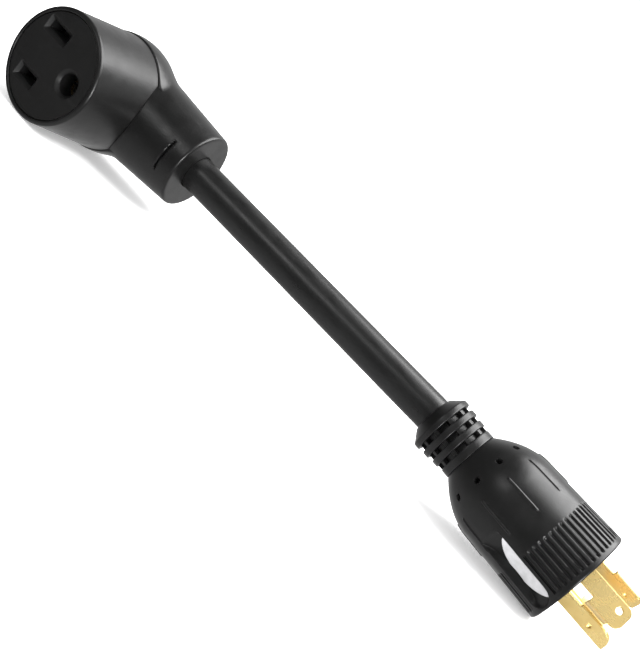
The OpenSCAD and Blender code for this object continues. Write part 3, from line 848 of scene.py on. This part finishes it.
def make_body():
    profile = body_profile()
    angles = even_angles(RIB_COUNT * 16)
    pockets = [POCKET_AT, POCKET_AT + 180]
    side = normals_of(profile)
    r0, h0 = profile[:, :1], profile[:, 1:]
    arc_mm = math.radians(1) * r0

    ridge_off = np.abs(near_angle(angles, RIDGE_AT + even_angles(SPOKES)))[None, :] * arc_mm
    ridge = (1 - smoothstep(ridge_off, 0.25, 0.62)) * smoothstep(h0, RIDGE_FROM - 0.3, RIDGE_FROM + 0.3)
    ridge = ridge * (1 - smoothstep(h0, RIDGE_TO - 0.3, RIDGE_TO + 0.3)) * RIDGE_H

    rib_off = np.abs(near_angle(angles, even_angles(RIB_COUNT)))[None, :] * arc_mm
    clear = np.abs(near_angle(angles, pockets))[None, :]
    groove = (1 - smoothstep(rib_off, 0.35, 0.95)) * smoothstep(h0, RIB_FROM - 0.25, RIB_FROM + 0.25)
    groove = groove * (1 - smoothstep(h0, RIB_TO - 0.25, RIB_TO + 0.25)) * (clear > POCKET_SKIP) * RIB_DEPTH

    hole_at = near_angle(angles, HOLE_AT + even_angles(SPOKES))[None, :] * arc_mm
    slope = np.hypot(1, np.gradient(profile[:, 0], profile[:, 1] + 1e-9 * np.arange(len(profile))))[:, None]
    hole_off = np.hypot(hole_at, (h0 - HOLE_H) * np.clip(slope, 1, 3))
    hole = (1 - smoothstep(hole_off, HOLE_R - 0.15, HOLE_R + 0.2)) * HOLE_DEPTH

    lift = np.where(h0 < PLUG_LEN - 0.5, ridge - groove - hole, 0)
    r = r0 + side[:, :1] * lift
    h = h0 + side[:, 1:] * lift

    away = np.radians(near_angle(angles, pockets))[None, :]
    across = np.abs(r0 * np.sin(away))
    half_w = POCKET_W / 2
    round_end = np.hypot(across, np.maximum(h0 - (POCKET_TO - half_w), 0)) - half_w
    edge = np.maximum(round_end, POCKET_FROM - h0)
    sunk = np.minimum(r, scoop_floor(h0) / np.cos(away))
    wall = 1 - smoothstep(edge, -0.55, 0.05)
    outer = (h0 > POCKET_FROM - 1) & (h0 < POCKET_TO + 0.3) & (r0 > PLUG_R - 2.5)
    r = np.where(outer, r + (sunk - r) * wall, r)
    obj = turned("plug_body_piece", r, h, angles, PLUG, 50)
    return finish_piece(obj, plug_black, "plug_vinyl", "plug_body")


make_body()

INLAY_T = 0.45
INLAY_ROUND = 0.35    # radius of its edge
INLAY_FROM = 55.3
INLAY_TO = 83.1
INLAY_MID = 69.3
INLAY_ARC = 15.5      # radius of its curved side
INLAY_REACH = 5.0     # how far that side goes past the middle of the pocket


def make_inlay(name, side):
    """Thin pad on the floor of a finger pocket, with a softly rounded edge and one curved side."""
    edge = np.concatenate([np.linspace(0, INLAY_ROUND, 7), [0.6]])
    middle = np.linspace(INLAY_FROM + 1, INLAY_TO - 1, 70)
    heights = np.concatenate([INLAY_FROM + edge, middle, INLAY_TO - edge[::-1]])
    near = -POCKET_W / 2 + 0.15
    far = INLAY_REACH - INLAY_ARC + np.sqrt(INLAY_ARC ** 2 - (heights - INLAY_MID) ** 2)
    part = np.linspace(0, 1, 27)[1:-1]
    points = []
    for h, last in zip(heights, far):
        across = np.concatenate([near + edge, near + 0.6 + part * (last - near - 1.2), last - edge[::-1]])
        inside = np.minimum(np.minimum(across - near, last - across), min(h - INLAY_FROM, INLAY_TO - h))
        lift = INLAY_T * np.sqrt(1 - (1 - np.clip(inside / INLAY_ROUND, 0, 1)) ** 2) - 0.02
        points += [(scoop_floor(h) + up, y, h) for y, up in zip(across, lift)]
    cols = len(points) // len(heights)
    at = (np.arange(len(heights) - 1)[:, None] * cols + np.arange(cols - 1)[None, :]).ravel()
    faces = np.stack([at, at + 1, at + cols + 1, at + cols], -1)
    obj = mesh_object(name + "_piece", placed(points, PLUG @ turn(POCKET_AT + side, "Z")), faces, 50)
    return finish_piece(obj, inlay_grey, "inlay_grey", name)


make_inlay("pocket_inlay_front", 0)
make_inlay("pocket_inlay_back", 180)

# ---- Plug: carrier and blades ----

NECK_W = 7.8
TAB_W = 10.6
TAB_FROM = PLUG_LEN + 7.8
BLADE_FOOT = PLUG_LEN - 8
BLADE_EDGE = 0.16     # radius of a blade's edges
FLANGE_IN = 6.0
FLANGE_LEN = 10.6
# Length and hole in front of the plug (length, hole radius, hole distance), width with the hook, the side the
# hook is on (1 or -1), and the corner radii on the hook's side and on the other
BLADES = {
    "hot_x": (24.8, 1.2, 15.0, NECK_W + 0.5, -1, 5.5, 1.0),
    "hot_y": (22.8, 1.2, 17.0, TAB_W, 1, 3.4, 2.2),
    "ground": (22.8, 1.55, 18.0, TAB_W, 1, 3.4, 3.2),
    "neutral": (22.8, 1.2, 17.0, TAB_W, 1, 3.4, 2.2),
}
CARRIER_FLAT = 16.2   # from the plug's axis to the carrier's flats, which clear the finger pockets
CARRIER_R = PLUG_R - 3.35
CARRIER_T = 6.0
CARRIER_RECESS = 0.7
BLADE_GAP = 0.25


def arc_points(cx, cy, r, a0, a1, n):
    return [(cx + r * math.cos(math.radians(a0 + (a1 - a0) * k / n)),
             cy + r * math.sin(math.radians(a0 + (a1 - a0) * k / n))) for k in range(n + 1)]


def plate(name, outlines, thickness, edge, place):
    """Flat plate from z = 0 to thickness with rounded edges: its rim, then its holes."""
    mesh = filled(outlines, extrude=thickness / 2 - edge, bevel_depth=edge, bevel_resolution=2, offset=-edge)
    mesh.name = name
    mesh.transform(Matrix.Scale(MM, 4) @ place @ Matrix.Translation((0, 0, thickness / 2)))
    shade(mesh, 40)
    return new_object(name, mesh)


def blade_place(key):
    """Frame of a blade: x across it, y along it, z towards the plug's axis."""
    across = Matrix(((0, 0, -1, BLADE_CIRCLE_R), (-1, 0, 0, 0), (0, 1, 0, 0), (0, 0, 0, 1)))
    return PLUG @ turn(BLADE_AT[key], "Z") @ across


def joined(name, pieces):
    """One object from several, with the first one's place."""
    bm = bmesh.new()
    for piece in pieces:
        bm.from_mesh(piece.data)
        bpy.data.objects.remove(piece)
    mesh = bpy.data.meshes.new(name)
    bm.to_mesh(mesh)
    bm.free()
    shade(mesh, 40)
    return new_object(name, mesh)


def make_blade(key):
    out, hole_r, hole_out, width, side, hook_round, tip = BLADES[key]
    end = PLUG_LEN + out
    hook_x = NECK_W / 2 - width
    outline = [(-NECK_W / 2, BLADE_FOOT), (NECK_W / 2, BLADE_FOOT)]
    outline += arc_points(NECK_W / 2 - tip, end - tip, tip, 0, 90, 10)
    outline += arc_points(hook_x + hook_round, end - hook_round, hook_round, 90, 180, 16)
    outline += arc_points(hook_x + 0.4, TAB_FROM + 0.4, 0.4, 180, 270, 4)
    outline += [(-NECK_W / 2, TAB_FROM)]
    outline = [(side * x, y) for x, y in outline][::side]
    hole = arc_points(0, PLUG_LEN + hole_out, hole_r, 360, 0, 40)[:-1]
    blade = plate(key + "_blade_piece", [outline, hole], BLADE_T, BLADE_EDGE, blade_place(key))
    if key == "ground":
        hook_side = NECK_W / 2 - TAB_W
        flange_at = Matrix(((0, 0, -1, hook_side + BLADE_T), (0, 1, 0, 0), (1, 0, 0, 0), (0, 0, 0, 1)))
        flange_to = TAB_FROM + FLANGE_LEN
        flange_outline = [(BLADE_T * 0.6, TAB_FROM), (FLANGE_IN, TAB_FROM), (FLANGE_IN, flange_to),
                          (BLADE_T * 0.6, flange_to)]
        flange = plate("flange", [flange_outline], BLADE_T, BLADE_EDGE, blade_place(key) @ flange_at)
        blade = joined(key + "_blade_piece", [blade, flange])
    return finish_piece(blade, brass, "blade_brass", key + "_blade")


for blade_name in BLADES:
    make_blade(blade_name)


def make_carrier():
    half = math.degrees(math.acos(CARRIER_FLAT / CARRIER_R))
    outline = []
    for start in (POCKET_AT, POCKET_AT + 180):
        outline += arc_points(0, 0, CARRIER_R, start + half, start + 180 - half, 72)
    near, far, wide = BLADE_CIRCLE_R - BLADE_T - BLADE_GAP, BLADE_CIRCLE_R + BLADE_GAP, NECK_W / 2 + BLADE_GAP
    corners = [(near, -wide), (near, wide), (far, wide), (far, -wide)]
    holes = []
    for angle in BLADE_AT.values():
        c, s = math.cos(math.radians(angle)), math.sin(math.radians(angle))
        holes.append([(x * c - y * s, x * s + y * c) for x, y in corners])
    back = Matrix.Translation((0, 0, PLUG_LEN - CARRIER_RECESS - CARRIER_T))
    obj = plate("blade_carrier_piece", [outline] + holes, CARRIER_T, 0.3, PLUG @ back)
    return finish_piece(obj, carrier_black, "carrier_nylon", "blade_carrier")


make_carrier()

# ---- Setting and light ----

FLOOR_R = 6.0         # metres
FLOOR_COLS = 96
floor_radii = np.linspace(0.0005, FLOOR_R, 12)[:, None] + np.zeros((1, FLOOR_COLS))
floor = turned("studio_floor", floor_radii[::-1], 0 * floor_radii, even_angles(FLOOR_COLS),
               Matrix.Scale(1 / MM, 4))
floor.visible_glossy = False
paper = Nodes("studio_floor")
floor.data.materials.append(paper.set(
    Base_Color=paper.mix(paper.noise(9, 3, 0.5), grey(0.86), grey(0.90)), Roughness=0.8,
    Emission_Color=(1, 1, 1, 1), Emission_Strength=0.3,
    Normal=paper.bump(paper.noise(900, 3, 0.6), 0.1, 0.00005)))


def area_light(name, at, aim, size, power):
    light = bpy.data.lights.new(name, "AREA")
    light.shape = "RECTANGLE"
    light.size, light.size_y = size
    light.energy = power
    obj = bpy.data.objects.new(name, light)
    bpy.context.scene.collection.objects.link(obj)
    obj.location = at
    obj.rotation_mode = "QUATERNION"
    obj.rotation_quaternion = (Vector(aim) - Vector(at)).to_track_quat("-Z", "Y")


area_light("key", (0.35, 0.20, 1.15), (0, 0, 0.02), (1.4, 1.0), 34)
area_light("front", (-0.5, -1.2, 0.7), (0, 0, 0.03), (0.5, 0.4), 2.0)
area_light("side", (1.05, -0.75, 0.14), (-0.15, 0, 0.03), (0.45, 0.22), 12.0)
world = bpy.data.worlds.new("studio")
bpy.context.scene.world = world
world.use_nodes = True
background = world.node_tree.nodes["Background"]
background.inputs["Color"].default_value = (1, 1, 1, 1)
# The studio is white, but reflections see dark flags round the part, and a soft glow below and behind it
STUDIO = 1.3
FLAGS = 0.07
GLOW_BELOW = 0.5
GLOW_BEHIND = 0.9
air = Tree(world.node_tree)
direction = air.add("ShaderNodeTexCoord").outputs["Generated"]
towards = air.add("ShaderNodeSeparateXYZ", {"Vector": direction}).outputs
below = air.fit(towards["Z"], -0.35, -0.8, FLAGS, GLOW_BELOW)
behind = air.fit(towards["Y"], 0.3, 0.85, FLAGS, GLOW_BEHIND)
mirrored = air.maths("MAXIMUM", below, behind)
is_glossy = air.add("ShaderNodeLightPath").outputs["Is Glossy Ray"]
strength = air.add("ShaderNodeMix", {0: is_glossy, 2: STUDIO, 3: mirrored}, data_type="FLOAT").outputs[0]
air.put(background.inputs["Strength"], strength)
bpy.context.scene.view_settings.view_transform = "Standard"
